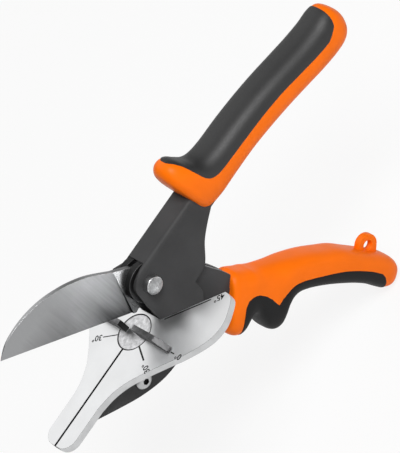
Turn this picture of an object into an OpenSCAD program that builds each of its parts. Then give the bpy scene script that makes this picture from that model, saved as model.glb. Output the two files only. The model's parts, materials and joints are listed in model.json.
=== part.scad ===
// Mitre shears: a blade on the lower lever closes on a table with a turning fence.
// Origin: the fence's turning centre, on the table's top face.
// +X runs back along the cut to the handles, +Z is the table's normal, Y is along the pivot.
// Sizes are in millimetres and degrees. The blade is drawn open by open_angle.

/* [Pivot] */
// Distance of the pivot behind the fence centre
pivot_x = 22.6; // [21.8:0.1:23.4]
// Height of the pivot above the table's top face
pivot_z = 16.6; // [16.2:0.1:17.4]
// Angle that the blade opens above the table
open_angle = 41; // [30:1:43]
// Radius of the pivot bolt's shank
pivot_r = 3.5; // [3:0.1:3.8]
// Wall of the sleeve round the pivot bolt
bush_wall = 1.5; // [1.2:0.1:1.6]
// Radius of the pivot bolt's domed head
pivot_head_r = 4.7; // [4.4:0.1:5.6]
// Height of the pivot bolt's domed head
pivot_head_h = 4.6; // [3:0.1:5]
// Size of the pivot nut across its flats
pivot_nut_af = 10; // [9:0.5:12]
// Thickness of the pivot nut
pivot_nut_h = 4; // [3:0.5:5]

/* [Channel] */
// Inside width between the channel's walls
channel_gap = 12; // [11.6:0.1:12.6]
// Sheet thickness of the channel
sheet = 2; // [1.6:0.1:2.2]
// Height of the channel's spine above the table
spine_z = 26.5; // [26:0.1:27]
// Outside radius of the channel's bends
bend_r = 3; // [2.4:0.1:3.6]
// Where the walls' front edge stands, behind the fence centre
wall_front = 12; // [11.6:0.1:12.6]
// Reach of the jaw under the tongue, ahead of the fence centre
jaw_reach = 49; // [46:0.5:52]
// Depth of the jaw below the table's top face
jaw_depth = 28; // [27:0.5:29]
// Where the spine starts
spine_front = 28; // [27:0.5:31]
// Where the channel's tang ends inside the upper handle
tang_end = 130; // [110:1:134]

/* [Table] */
// Thickness of the table plate
table_t = 4; // [3.6:0.1:4.6]
// Reach of the tongue ahead of the fence centre
tongue_reach = 68.4; // [66:0.2:72]
// Half width of the tongue
tongue_half = 10.4; // [9.8:0.1:11.4]
// Corner radius of the tongue's end
tongue_corner = 7.5; // [5:0.5:9]
// Reach of the near wing to the side
wing_half = 49.5; // [47.5:0.5:52]
// How far the near wing reaches back
wing_back = 39; // [38:0.5:41]
// How far the shorter far wing reaches back
far_back = 25; // [22:0.5:27]
// How far the wings' rear edges lie behind the 45 degree lines through the fence centre
mark_margin = 1.4; // [1:0.1:2]
// Width of the groove that the blade's edge closes over
groove_w = 1.2; // [0.8:0.1:1.6]
// Depth of that groove
groove_d = 1.2; // [0.8:0.1:1.6]

/* [Fence] */
// Radius of the turning disc
disc_r = 9.75; // [9:0.05:10.5]
// Height of the fence bars above the table
bar_h = 7.6; // [6:0.1:9]
// Thickness of the fence bars
bar_t = 3; // [2.4:0.1:3.2]
// Reach of the bars from the fence centre
bar_reach = 29; // [26:0.5:32]
// Half of the gap that the blade passes through
bar_gap = 5; // [4.6:0.1:5.6]
// Radius of the fence's stem
stem_r = 3; // [2.6:0.1:3.2]
// Length of the stem below the table
stem_l = 9.2; // [8.2:0.1:10]
// Radius of the fence screw's shank
fence_screw_r = 1.5; // [1.2:0.1:1.7]

/* [Blade] */
// Thickness of the blade
blade_t = 3; // [2.6:0.1:3.2]
// Reach of the blade's tip from the pivot
blade_reach = 85.5; // [83:0.5:88]
// Thickness left at the cutting edge
edge_t = 0.4; // [0.2:0.1:0.6]
// Radius of the cheeks' round nose
nose_r = 11; // [10.4:0.1:11.6]
// Radius of the rivets
rivet_r = 2; // [1.6:0.1:2.2]

/* [Fasteners] */
// Radius of the jaw bolt's shank
jaw_bolt_r = 2.5; // [2:0.1:2.8]
// Radius of the jaw bolt's button head
jaw_head_r = 4.75; // [4.2:0.05:5.2]
// Height of the jaw bolt's button head
jaw_head_h = 2.75; // [2.4:0.05:3]
// Size of the hex socket across its flats
socket_af = 3; // [2.5:0.5:4]
// Size of the jaw nut across its flats
jaw_nut_af = 8; // [7:0.5:9]
// Thickness of the jaw nut
jaw_nut_h = 4; // [3:0.5:5]
// Radius of the table screws' shank
table_screw_r = 2; // [1.6:0.1:2.2]
// Radius of the stop pin
stop_r = 2.5; // [2:0.1:3]

/* [Spring] */
// Radius of the opening spring's wire
wire_r = 0.5; // [0.4:0.05:0.55]
// Radius of the coil at the middle of the wire
coil_r = 6.6; // [6.4:0.1:6.8]
// Turns of the coil
coil_turns = 1.4; // [1.36:0.01:1.44]

/* [Handles] */
// Half width of the upper handle
upper_half = 11.5; // [11:0.1:12.5]
// Half width of the lower handle
lower_half = 11; // [10.5:0.1:12]
// Thickness of the soft grips
skin = 2; // [1.6:0.1:2.2]
// Roundness of the handles' sections, 2 is an ellipse
section_power = 2.5; // [2.2:0.1:3]
// Radius of the hang hole
hang_r = 2.5; // [2:0.1:3]
// Radius of the tab round the hang hole
hang_tab_r = 6; // [5.5:0.1:6.4]
// Thickness of the hang tab
hang_tab_t = 4; // [3:0.2:6]

/* [Hidden] */

$fn = 64;
fit = 0.05;          // clearance round a pin, screw or shaft
run = 0.5;           // side clearance of the lower lever in the channel
slack = 0.3;         // clearance between pieces that move past each other
blade_gap = 0.2;     // height of the closed edge over the table
past = 1;            // how far a cutter runs past a face

gap_half = channel_gap / 2;
out_half = gap_half + sheet;
blade_half = blade_t / 2;
cheek_in = blade_half + fit;
cheek_out = gap_half - run;
bush_r = pivot_r + fit + bush_wall;
pivot = [pivot_x, pivot_z];
edge_z = blade_gap - pivot_z;

// Curves through points chosen by hand
function catmull(a, b, c, d, t) =
    0.5 * (2 * b + (c - a) * t + (2 * a - 5 * b + 4 * c - d) * t ^ 2 + (3 * b - a - 3 * c + d) * t ^ 3);
function through(p, steps) = [
    for (i = [0 : len(p) - 2], k = [0 : steps - 1])
        catmull(p[max(i - 1, 0)], p[i], p[i + 1], p[min(i + 2, len(p) - 1)], k / steps),
    p[len(p) - 1]];
function arc(c, r, from, to, steps) = [
    for (k = [0 : steps]) let (a = from + (to - from) * k / steps) c + r * [cos(a), sin(a)]];
function flip_y(p) = [for (i = [len(p) - 1 : -1 : 0]) [p[i].x, -p[i].y]];

// A side view outline, drawn in X and Z, as a plate from y0 to y1
module plate(y0, y1) {
    translate([0, y1, 0]) rotate([90, 0, 0]) linear_extrude(y1 - y0) children();
}

// A round bar along Y through the side view's point p
module cross_bar(p, r, y0, y1) {
    translate([p.x, y1, p.y]) rotate([90, 0, 0]) cylinder(r = r, h = y1 - y0);
}

module hex_bar(p, af, y0, y1) {
    translate([p.x, y1, p.y]) rotate([90, 0, 0]) cylinder(d = af / cos(30), h = y1 - y0, $fn = 6);
}

// Places what is drawn round the pivot, in the closed position, on the open lower lever
module on_lower_lever() {
    translate([pivot_x, 0, pivot_z]) rotate([0, open_angle, 0]) children();
}

// A point of the lower lever's closed side view, where it lies when open
function opened(p) = pivot + [p.x * cos(open_angle) + p.y * sin(open_angle),
                              p.y * cos(open_angle) - p.x * sin(open_angle)];

// Channel: the side view of its walls, from the jaw's tip along the table, up and round
jaw_tip = [-jaw_reach, -table_t];
neck_low = 13;
tang_low = 14;
heel = [36.6, -14.5];
wall_outline = concat(
    [jaw_tip, [wall_front, -table_t]],
    through([[wall_front + 0.2, 2], [wall_front + 2, 18], [wall_front + 3.6, 22.4],
        [wall_front + 7.6, spine_z - 1.5], [spine_front - 2, spine_z]], 6),
    [[tang_end, spine_z], [tang_end, tang_low]],
    through([[71, neck_low], [63, 8.4], [56, 3.4], [50, -3.2], [46.6, -6.2]], 4),
    [[37.6, -6.8], heel],
    through([heel, [31, -20.6], [22, 1.6 - jaw_depth], [8, -jaw_depth], [-8, 1 - jaw_depth],
        [-22, -21.6], [-34.6, -13.9], jaw_tip], 4));

// The far wall's ear, which stands up beside the blade ahead of the spine
ear_back = spine_front - 1.2;
far_ear = [[ear_back, spine_z - bend_r], [wall_front + 6.2, spine_z + 1.9], [wall_front + 2.6, spine_z - 2],
    [wall_front + 1.6, pivot_z], [ear_back, pivot_z]];

jaw_bolt_at = [-16.5, -16];
spring_leg_r = coil_r + 1;

// The channel's cross section grown by extra, with its rounded top, along X
module bend_limit(x0, x1, z0, extra = 0) {
    half = out_half + extra;
    top = spine_z + extra;
    r = bend_r + extra;
    translate([x0, 0, 0]) rotate([90, 0, 90]) linear_extrude(x1 - x0) union() {
        translate([-half, z0]) square([2 * half, top - r - z0]);
        translate([r - half, z0]) square([2 * (half - r), top - z0]);
        for (side = [-1, 1]) translate([side * (half - r), top - r]) circle(r);
    }
}

module channel_frame() color("#48494a") {
    difference() {
        union() {
            intersection() {
                union() {
                    for (y = [-out_half, gap_half]) plate(y, y + sheet) polygon(wall_outline);
                    plate(-out_half, out_half) translate([spine_front, spine_z - sheet])
                        square([tang_end - spine_front, sheet]);
                }
                bend_limit(-jaw_reach - past, tang_end + past, -jaw_depth - past);
            }
            plate(gap_half, out_half) polygon(far_ear);
        }
        cross_bar(pivot, pivot_r + fit, -out_half - past, out_half + past);
        cross_bar(jaw_bolt_at, jaw_bolt_r + fit, -out_half - past, out_half + past);
        cross_bar(stop_at, stop_r + fit, -out_half - past, out_half + past);
        cross_bar(pivot + [0, spring_leg_r], wire_r + fit, 0, out_half + past);
    }
}

// Table: one side of its outline from the tip of the tongue to the wing
apex = wall_front - slack;
wing_root = [0, wing_half - 11.6];
tongue_side = concat(
    arc([tongue_corner - tongue_reach, tongue_half - tongue_corner], tongue_corner, 180, 90, 8),
    through([[-42, tongue_half], [-33.5, tongue_half + 1.6], [-25.5, tongue_half + 5.2],
        [-18, tongue_half + 10.8], [-9, wing_half - 20.2], wing_root], 5));
near_wing = through([wing_root, [9, wing_half - 4.6], [16.5, wing_half - 0.8], [24.5, wing_half],
    [32, wing_half - 2.6], [wing_back - 1.5, wing_back + 4.5], [wing_back, wing_back + 0.5]], 5);
far_wing = through([wing_root, [7, wing_half - 6.2], [13, wing_half - 4], [far_back - 6, wing_half - 7],
    [far_back - 1.5, far_back + 9.5], [far_back, far_back + 2.5]], 5);
function rear_edge(back) = [[back, back - mark_margin], [apex, apex - mark_margin]];
table_outline = concat(tongue_side, far_wing, rear_edge(far_back),
    flip_y(concat(tongue_side, near_wing, rear_edge(wing_back))));
disc_fit = 0.1;
table_screw_x = [-36, -25];
table_screw_top = -groove_d - 0.6;      // the screws' blind holes end below the groove

module mitre_table() color("#d9dbdd") {
    difference() {
        translate([0, 0, -table_t]) linear_extrude(table_t) polygon(table_outline);
        translate([0, 0, -table_t - past]) cylinder(r = disc_r + disc_fit, h = table_t + 2 * past);
        translate([-tongue_reach - past, -groove_w / 2, -groove_d])
            cube([tongue_reach + past, groove_w, groove_d + past]);
        for (x = table_screw_x) translate([x, 0, -table_t - past])
            cylinder(r = table_screw_r + fit, h = table_screw_top + table_t + past);
    }
}

// Bracket: the block between the jaw's walls that carries the table
bracket_half = gap_half - fit;
bracket_low = -20;
seat_z = -7.5;              // the table screws' heads bear here
stem_z = -table_t - stem_l; // the stem's lower end
washer_r = 4.4;
bracket_outline = [[5 - jaw_reach, -table_t], [5 - jaw_reach, -5.6], [-28, -15.2], [-14, bracket_low],
    [apex, bracket_low], [apex, -table_t]];
table_head_r = 3.5;
table_head_h = 2.4;

module table_bracket() color("#3a3b3c") {
    difference() {
        plate(-bracket_half, bracket_half) polygon(bracket_outline);
        translate([0, 0, bracket_low - past]) cylinder(r = stem_r + fit, h = -bracket_low);
        translate([0, 0, bracket_low - past])
            cylinder(r = washer_r + slack, h = stem_z + disc_fit - bracket_low + past);
        cross_bar(jaw_bolt_at, jaw_bolt_r + fit, -gap_half, gap_half);
        for (x = table_screw_x) {
            translate([x, 0, bracket_low]) cylinder(r = table_screw_r + fit, h = -bracket_low);
            translate([x, 0, bracket_low]) cylinder(r = table_head_r + slack, h = seat_z - bracket_low);
        }
    }
}

module table_screws() color("#b4b7ba") {
    for (x = table_screw_x) translate([x, 0, 0]) {
        translate([0, 0, seat_z - fit]) cylinder(r = table_screw_r, h = table_screw_top - seat_z);
        translate([0, 0, seat_z - table_head_h]) cylinder(r = table_head_r, h = table_head_h);
    }
}

// A domed head that stands on the face y, towards -Y: a flat rim and a cap of a sphere
module domed_head(p, r, h, rim, y) {
    crown = h - rim;
    ball = (r * r + crown * crown) / (2 * crown);
    translate([p.x, y, p.y]) rotate([90, 0, 0]) rotate_extrude() intersection() {
        translate([0, h - ball]) circle(ball, $fn = 128);
        square([r, h]);
    }
}

head_lap = 0.2;             // how far a shank runs into its head
thread_past = 1;            // how far a shank stands out of its nut
socket_floor = 1;           // head left under the hex socket

module jaw_bolt() color("#9b9ea1") {
    difference() {
        union() {
            domed_head(jaw_bolt_at, jaw_head_r, jaw_head_h, 0.5, -out_half);
            cross_bar(jaw_bolt_at, jaw_bolt_r, -out_half - head_lap, out_half + jaw_nut_h + thread_past);
        }
        hex_bar(jaw_bolt_at, socket_af, -out_half - jaw_head_h - past, -out_half - socket_floor);
    }
}

// A nut on the far wall, with its bore
module far_nut(p, af, h, r) {
    difference() {
        hex_bar(p, af, out_half, out_half + h);
        cross_bar(p, r + fit, out_half - past, out_half + h + past);
    }
}

module jaw_nut() color("#9b9ea1") far_nut(jaw_bolt_at, jaw_nut_af, jaw_nut_h, jaw_bolt_r);

module pivot_bolt() color("#c3c6c8") {
    domed_head(pivot, pivot_head_r, pivot_head_h, pivot_head_h - 1, -out_half);
    cross_bar(pivot, pivot_r, -out_half - head_lap, out_half + pivot_nut_h + thread_past);
}

module pivot_nut() color("#9b9ea1") far_nut(pivot, pivot_nut_af, pivot_nut_h, pivot_r);

// A ring along Y round the pivot
module pivot_ring(r_in, r_out, y0, y1) {
    difference() {
        cross_bar(pivot, r_out, y0, y1);
        cross_bar(pivot, r_in, y0 - past, y1 + past);
    }
}

module pivot_bush() color("#a8854a")
    pivot_ring(pivot_r + fit, bush_r, fit - gap_half, gap_half - fit);

washer_out = bush_r + 1.4;
module pivot_washers() color("#e4e2da") {
    for (side = [-1, 1]) let (a = side * (cheek_out + fit), b = side * (gap_half - fit))
        pivot_ring(bush_r + fit, washer_out, min(a, b), max(a, b));
}

// Lower lever, drawn closed round the pivot: X back to the handle, Z up
handle_face = [[49.6, -17], [46.2, -38]];   // front of the lower handle, upper and lower point
face_lean = (handle_face[0].x - handle_face[1].x) / (handle_face[0].y - handle_face[1].y);
function face_x(z) = handle_face[0].x + (z - handle_face[0].y) * face_lean - slack;
spine_corner = [spine_front, spine_z - sheet] - pivot;      // the spine's lower front corner from the pivot
top_r = norm(spine_corner) - slack;
arm_level = spine_corner.y - 2 * slack;
arm_top = [[15.5, arm_level], [34.7, -2.7], [44.8, -8.6]];
arm_low = [1.2, -nose_r];
nose_from = atan2(spine_corner.y, spine_corner.x) + open_angle + 6;
arm_corner_z = [-12.4, -40];
tang_top = [[50, -19.5], [118, -26]];
tang_bottom = [[50, -31], [118, -31.6]];

// Stop pin: it lies in front of the open arm's lower edge
low_corner = [face_x(arm_corner_z[1]), arm_corner_z[1]];
low_edge = (low_corner - arm_low) / norm(low_corner - arm_low);
stop_along = 24;
stop_at = opened(arm_low + low_edge * stop_along + [low_edge.y, -low_edge.x] * (stop_r + slack));

module stop_pin() color("#8d9093") cross_bar(stop_at, stop_r, -out_half, out_half);

// Opening spring: a coil in the far cheek's pocket, a leg in the wall and a leg in the cheek
coil_y0 = cheek_in + wire_r + 0.15;
coil_pitch = (cheek_out - cheek_in - 2 * wire_r - 0.3) / coil_turns;
coil_steps = 24;
coil_sides = 8;
pocket_r = coil_r + wire_r + 1.2;
slot_l = 3;

module ring_tube(rings) {
    n = len(rings[0]);
    m = len(rings);
    polyhedron(
        concat([for (r = rings) each r]),
        concat([[for (k = [0 : n - 1]) k]],
            [for (i = [0 : m - 2], k = [0 : n - 1]) each [
                [i * n + k, (i + 1) * n + k, i * n + (k + 1) % n],
                [i * n + (k + 1) % n, (i + 1) * n + k, (i + 1) * n + (k + 1) % n]]],
            [[for (k = [n - 1 : -1 : 0]) (m - 1) * n + k]]));
}

coil_start = 90 - 360 * (coil_turns - floor(coil_turns));
function coil_ring(a) = [for (k = [0 : coil_sides - 1]) let (b = 360 * k / coil_sides,
    r = coil_r + wire_r * cos(b), y = coil_y0 + coil_pitch * a / 360 + wire_r * sin(b))
    [pivot_x + r * cos(coil_start + a), y, pivot_z + r * sin(coil_start + a)]];

module opening_spring() color("#6f7376") {
    rings = ceil(coil_steps * coil_turns);
    ring_tube([for (i = [0 : rings]) coil_ring(360 * coil_turns * i / rings)]);
    translate([pivot_x, 0, pivot_z]) {
        y_end = coil_y0 + coil_pitch * coil_turns;
        leg_from = coil_r - wire_r / 2;
        translate([0, y_end, leg_from]) cylinder(r = wire_r, h = spring_leg_r - leg_from);
        translate([0, y_end, spring_leg_r]) sphere(wire_r, $fn = 24);
        translate([0, out_half, spring_leg_r]) rotate([90, 0, 0])
            cylinder(r = wire_r, h = out_half - y_end);
        translate([0, coil_y0, 0]) rotate([0, 90 - coil_start, 0]) translate([0, 0, leg_from])
            cylinder(r = wire_r, h = pocket_r + slot_l - slack - leg_from);
    }
}

// Cheeks: a round nose at the pivot, an arm and a tang inside the lower handle
arm_outline = concat([arm_low], arc([0, 0], nose_r, 262, nose_from, 20),
    arc([0, 0], top_r, nose_from, asin(arm_level / top_r), 8), arm_top,
    [[face_x(arm_corner_z[0]), arm_corner_z[0]], [face_x(tang_top[0].y), tang_top[0].y]],
    tang_top, [tang_bottom[1], tang_bottom[0]],
    [[face_x(tang_bottom[0].y), tang_bottom[0].y], low_corner]);
blade_rivet_at = [[15, -3.5], [23, -9.5]];
tang_rivet_at = [[58, -25.6], [98, -27.8]];

module rivet_holes(places, y0, y1) {
    for (p = places) cross_bar(p, rivet_r + fit, y0 - past, y1 + past);
}

module cheek(y0, y1, bore) {
    difference() {
        plate(y0, y1) polygon(arm_outline);
        cross_bar([0, 0], bore, y0 - past, y1 + past);
        rivet_holes(concat(blade_rivet_at, tang_rivet_at), y0, y1);
    }
}

module cheek_near() color("#2c2d2e") on_lower_lever() cheek(-cheek_out, -cheek_in, bush_r + fit);

module cheek_far() color("#2c2d2e") on_lower_lever() difference() {
    cheek(cheek_in, cheek_out, pocket_r);
    rotate([0, 90 - coil_start - open_angle, 0])
        translate([-wire_r - slack, cheek_in - past, 0])
            cube([2 * (wire_r + slack), coil_y0 + wire_r + slack - cheek_in + past, pocket_r + slot_l]);
}

// Blade: a flat heel under the cheeks and a ground front that thins to the edge
grind_line = [[-17.5, 9.4], [-6.8, edge_z]];
blade_back = through([[-blade_reach, edge_z], [3 - blade_reach, -9], [8 - blade_reach, -3.2],
    [15.8 - blade_reach, 2.8], [25.6 - blade_reach, 7.6], [-49.5, 10.4], [-40.2, 11.6], [-31, 11.5],
    grind_line[0]], 4);
heel_outline = [grind_line[0], [-9.6, 8.8], [-5.6, 8.4], [0, arm_level], [14, arm_level - 0.6], [30, -4],
    [26, -14], [8, -13], [-3.4, -14.4], [-5, edge_z], grind_line[1]];
grind_top = 12.5;

module blade() color("#a2a6a9") on_lower_lever() {
    difference() {
        union() {
            plate(-blade_half, blade_half) polygon(heel_outline);
            intersection() {
                plate(-blade_half, blade_half) polygon(concat(blade_back, [grind_line[1]]));
                translate([-blade_reach - past, 0, 0]) rotate([90, 0, 90])
                    linear_extrude(blade_reach + past) polygon([[-edge_t / 2, edge_z], [edge_t / 2, edge_z],
                        [blade_half - 0.1, grind_top], [0.1 - blade_half, grind_top]]);
            }
        }
        cross_bar([0, 0], bush_r + fit, -blade_half - past, blade_half + past);
        rivet_holes(blade_rivet_at, -blade_half, blade_half);
    }
}

module rivets(places) {
    on_lower_lever() for (p = places) cross_bar(p, rivet_r, -cheek_out, cheek_out);
}

module blade_rivets() color("#8d9093") rivets(blade_rivet_at);
module tang_rivets() color("#8d9093") rivets(tang_rivet_at);

spacer_nose = [-6, 1.2];    // the spacer's front end, ahead of the tang's first corners
module tang_spacer() color("#55585a") on_lower_lever() difference() {
    plate(-blade_half, blade_half) polygon([tang_top[0] + spacer_nose, tang_top[0], tang_top[1],
        tang_bottom[1], tang_bottom[0], tang_bottom[0] + spacer_nose]);
    rivet_holes(tang_rivet_at, -blade_half, blade_half);
}

// Handles: each row is a station along the handle, with the side view's outer and inner point,
// the half width, the height on the side where the soft grip starts (-1 inner, 1 outer) and its thickness
station_steps = 2;
side_points = 14;
grip_points = 9;
glue = 0.04;                // gap between a soft grip and the shell under it
split_limit = 0.97;         // the split stays this far from the crown
shell_lap = 0.2;            // how far the seam's two sides stand back from the split, in steps
grip_lap = 0.3;

function half_depth(s) = [s[0] - s[2], s[1] - s[3]] / 2;
function middle(s) = [s[0] + s[2], s[1] + s[3]] / 2;
function round_off(c) = sign(c) * abs(c) ^ (2 / section_power);
function split_angle(s) = let (v = min(split_limit, max(-split_limit, s[5])))
    asin(sign(v) * abs(v) ^ (section_power / 2));
function across(a, k, lap) = a + (180 - 2 * a) * (k + lap) / (grip_points + 2 * lap);
function on_section(s, a, inset) =
    let (d = half_depth(s), m = middle(s) + d * (1 - inset / norm(d)) * round_off(sin(a)))
    [m.x, sign(d.y) * (s[4] - inset) * round_off(cos(a)), m.y];

// Rings of the hard shell: outside round the inner face, then under the soft grip
function shell_ring(s) = let (a = split_angle(s), t = max(0, s[6])) concat(
    [for (k = [0 : side_points]) on_section(s, 180 - a + (180 + 2 * a) * k / side_points, 0)],
    [for (k = [0 : grip_points]) on_section(s, across(a, k, shell_lap), t)]);
// Rings of the soft grip: outside, then back along its underside
function grip_ring(s) = let (a = split_angle(s), t = max(0.2, s[6]) - glue) concat(
    [for (k = [0 : grip_points]) on_section(s, across(a, k, grip_lap), 0)],
    [for (k = [grip_points : -1 : 0]) on_section(s, across(a, k, grip_lap), t)]);

u = upper_half;
upper_stations = [
    [65.2, 40.4, 68, 16, u - 4, 1, 0], [66.2, 45, 68.4, 13, u - 2, 1, 0],
    [69, 48, 70.2, 11.2, u - 0.4, 1, 0], [72.8, 48.5, 72.8, 10, u, 0.97, skin / 2],
    [76.6, 46, 76, 9.6, u, 0.86, skin], [79.4, 41, 78.8, 9.6, u, 0.66, skin],
    [82.4, 36.3, 81.8, 9.8, u, 0.42, skin], [87, 33.6, 86.6, 10.2, u, 0.22, skin],
    [95, 32.3, 95, 10.5, u, 0.19, skin], [108, 31.9, 108, 10.3, u, 0.17, skin],
    [122, 30.9, 122, 8.9, u, 0.21, skin], [136, 29.2, 136, 6.9, u, 0.23, skin],
    [150, 26.8, 149, 4.5, u, 0.2, skin], [162, 24.8, 160.4, 2.3, u, 0.17, skin],
    [172, 23.9, 170.6, 0.9, u - 0.2, 0.15, skin], [179.4, 24.2, 178.4, 0.9, u - 0.8, 0.37, skin],
    [184.6, 22.8, 183.6, 3.6, u - 2.6, 0.9, 0], [187.4, 17.6, 187, 9.4, u - 6, 1, 0]];
upper_grip_rows = [3, 15];

w = lower_half;
lower_stations = [
    [handle_face[1].x, handle_face[1].y, handle_face[0].x, handle_face[0].y, w - 3.6, 1, 0],
    [46.2, -42.6, 50, -13.8, w - 1.4, 1, 0], [48.6, -46, 52.4, -12.3, w - 0.2, 1, 0],
    [52, -47.2, 55, -12.5, w, 1, 0], [55.4, -45.8, 57.8, -13.2, w, 0.6, skin],
    [58.4, -41.8, 60.4, -13.8, w, 0.1, skin], [61.4, -38.4, 63, -14.2, w, 0, skin],
    [64.4, -39, 65.6, -14.9, w, 0.04, skin], [67.4, -44.2, 68.4, -15.3, w, 0.06, skin],
    [70.8, -49, 71.4, -15.4, w, 0.1, skin], [74.8, -51.1, 74.8, -15.5, w, 0.12, skin],
    [78.4, -50.2, 77.6, -15.6, w, 0.12, skin], [80.8, -46.8, 79.9, -15.7, w, 0.1, skin],
    [83.1, -41.8, 82.3, -15.8, w, 0.12, skin], [86.2, -37.6, 85.2, -15.9, w, 0.16, skin],
    [90.4, -35.4, 89.4, -16.1, w, 0.22, skin], [96, -35.2, 96, -16.5, w, 0.25, skin],
    [102, -35.9, 103, -17.4, w, 0.24, skin], [109, -37.2, 111, -19, w, 0.18, skin],
    [117, -39.2, 119.6, -20.9, w, 0.12, skin], [125.4, -41.6, 128.4, -24.6, w, 0.06, skin],
    [133.2, -44.6, 137, -28.3, w - 0.1, 0.06, skin], [139.6, -48.2, 144.2, -31.3, w - 0.4, 0.4, skin],
    [144.4, -50.7, 149.6, -34.2, w - 1, 0.9, 0], [148.8, -51.3, 153.4, -37.8, w - 2.4, 1, 0],
    [152, -50, 155.2, -41.6, w - 4.4, 1, 0], [153.6, -48, 155.4, -44, w - 6, 1, 0]];
lower_grip_rows = [3, 22];

module shell_form(stations) {
    ring_tube([for (s = through(stations, station_steps)) shell_ring(s)]);
}
module grip_form(stations, span) {
    picked = through(stations, station_steps);
    ring_tube([for (i = [span[0] * station_steps + 1 : span[1] * station_steps + 1]) grip_ring(picked[i])]);
}

module upper_handle_shell() color("#f4771b") {
    difference() {
        shell_form(upper_stations);
        difference() {
            bend_limit(60, tang_end + fit, tang_low - 3, fit);
            translate([50, fit - gap_half, tang_low - 10])
                cube([tang_end, channel_gap - 2 * fit, spine_z - sheet - fit - tang_low + 10]);
        }
    }
}

module upper_handle_grip() color("#343536") grip_form(upper_stations, upper_grip_rows);

hang_at = [139.4, -26.4];
hang_root = [-1.5, -9];     // from the hang hole to where its tab ends inside the shell
pocket_front = tang_top[0].x - 10;

module lower_handle_shell() color("#f4771b") on_lower_lever() {
    difference() {
        union() {
            shell_form(lower_stations);
            plate(-hang_tab_t / 2, hang_tab_t / 2) hull() {
                translate(hang_at) circle(hang_tab_r);
                translate(hang_at + hang_root) circle(hang_tab_r);
            }
        }
        cross_bar(hang_at, hang_r, -lower_half, lower_half);
        plate(-cheek_out - fit, cheek_out + fit) polygon([[pocket_front, tang_top[0].y + 1],
            tang_top[0] + [0, fit], tang_top[1] + [fit, fit], tang_bottom[1] + [fit, -fit],
            tang_bottom[0] - [0, fit], [pocket_front, tang_bottom[0].y]]);
    }
}

module lower_handle_grip() color("#343536") on_lower_lever()
    grip_form(lower_stations, lower_grip_rows);

// Fence: a disc on a stem, with two bars that leave a gap for the blade
bar_front = -2.1;
bar_slope = 6.5;
bar_lift = 0.15;
bar_profile = [[bar_gap, bar_lift], [bar_reach, bar_lift], [bar_reach, 1.2],
    [bar_reach - bar_slope, bar_h], [bar_gap, bar_h]];

module mitre_fence() color("#bcbfc2") {
    difference() {
        union() {
            translate([0, 0, disc_fit - table_t])
                cylinder(r = disc_r, h = table_t - 2 * disc_fit, $fn = 96);
            translate([0, 0, stem_z]) cylinder(r = stem_r, h = stem_l + table_t / 2);
            for (side = [0, 180]) rotate([0, 0, side]) translate([bar_front, 0, 0])
                rotate([90, 0, 90]) linear_extrude(bar_t) union() {
                    polygon(bar_profile);
                    translate([bar_gap, -table_t / 2]) square([disc_r - bar_gap - 1, table_t]);
                }
        }
        translate([0, 0, stem_z - past]) cylinder(r = fence_screw_r + fit, h = stem_l - 1 + past);
    }
}

fence_washer_t = 0.8;
fence_head_h = 2.2;
module fence_washer() color("#8d9093") translate([0, 0, stem_z - fence_washer_t]) difference() {
    cylinder(r = washer_r, h = fence_washer_t);
    translate([0, 0, -past]) cylinder(r = fence_screw_r + fit, h = fence_washer_t + 2 * past);
}

module fence_screw() color("#b4b7ba") translate([0, 0, stem_z - fence_washer_t]) {
    translate([0, 0, -fence_head_h]) cylinder(r = 2 * fence_screw_r, h = fence_head_h);
    translate([0, 0, -fit]) cylinder(r = fence_screw_r, h = stem_l - 2);
}

channel_frame();
mitre_table();
table_bracket();
table_screws();
jaw_bolt();
jaw_nut();
pivot_bolt();
pivot_nut();
pivot_bush();
pivot_washers();
stop_pin();
opening_spring();
upper_handle_shell();
upper_handle_grip();
mitre_fence();
fence_screw();
fence_washer();
blade();
cheek_near();
cheek_far();
blade_rivets();
tang_spacer();
tang_rivets();
lower_handle_shell();
lower_handle_grip();
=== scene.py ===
"""Mitre shears: the moulded handles, the metal work and the studio stage, on the frame of the CAD model."""
import json
from dataclasses import dataclass

import bmesh
import bpy
import numpy as np
from bpy.props import FloatProperty, FloatVectorProperty, IntProperty, PointerProperty
from bpy.types import Operator, Panel, PropertyGroup
from mathutils import Matrix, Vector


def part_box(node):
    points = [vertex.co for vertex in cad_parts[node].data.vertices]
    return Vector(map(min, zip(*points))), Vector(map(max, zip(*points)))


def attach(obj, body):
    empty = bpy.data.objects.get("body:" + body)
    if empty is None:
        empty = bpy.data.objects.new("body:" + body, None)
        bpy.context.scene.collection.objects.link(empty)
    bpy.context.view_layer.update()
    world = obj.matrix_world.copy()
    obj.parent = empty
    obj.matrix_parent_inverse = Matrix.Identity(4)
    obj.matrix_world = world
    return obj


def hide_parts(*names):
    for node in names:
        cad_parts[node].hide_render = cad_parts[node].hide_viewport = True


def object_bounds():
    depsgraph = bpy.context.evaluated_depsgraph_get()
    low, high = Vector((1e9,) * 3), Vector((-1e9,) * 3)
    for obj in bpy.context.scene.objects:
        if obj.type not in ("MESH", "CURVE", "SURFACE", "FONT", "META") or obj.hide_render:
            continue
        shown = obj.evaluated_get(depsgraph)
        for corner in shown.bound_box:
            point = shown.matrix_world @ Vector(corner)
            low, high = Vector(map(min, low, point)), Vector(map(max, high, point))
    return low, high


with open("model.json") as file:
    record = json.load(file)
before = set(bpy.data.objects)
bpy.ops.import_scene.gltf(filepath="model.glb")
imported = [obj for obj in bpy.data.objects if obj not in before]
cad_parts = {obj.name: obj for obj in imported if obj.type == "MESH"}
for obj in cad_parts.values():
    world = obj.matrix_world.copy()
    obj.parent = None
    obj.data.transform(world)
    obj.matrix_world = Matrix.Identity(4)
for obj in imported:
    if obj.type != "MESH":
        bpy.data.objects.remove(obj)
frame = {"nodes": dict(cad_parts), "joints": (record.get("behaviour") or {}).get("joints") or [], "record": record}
cad_box = [list(corner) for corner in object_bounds()]

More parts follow.
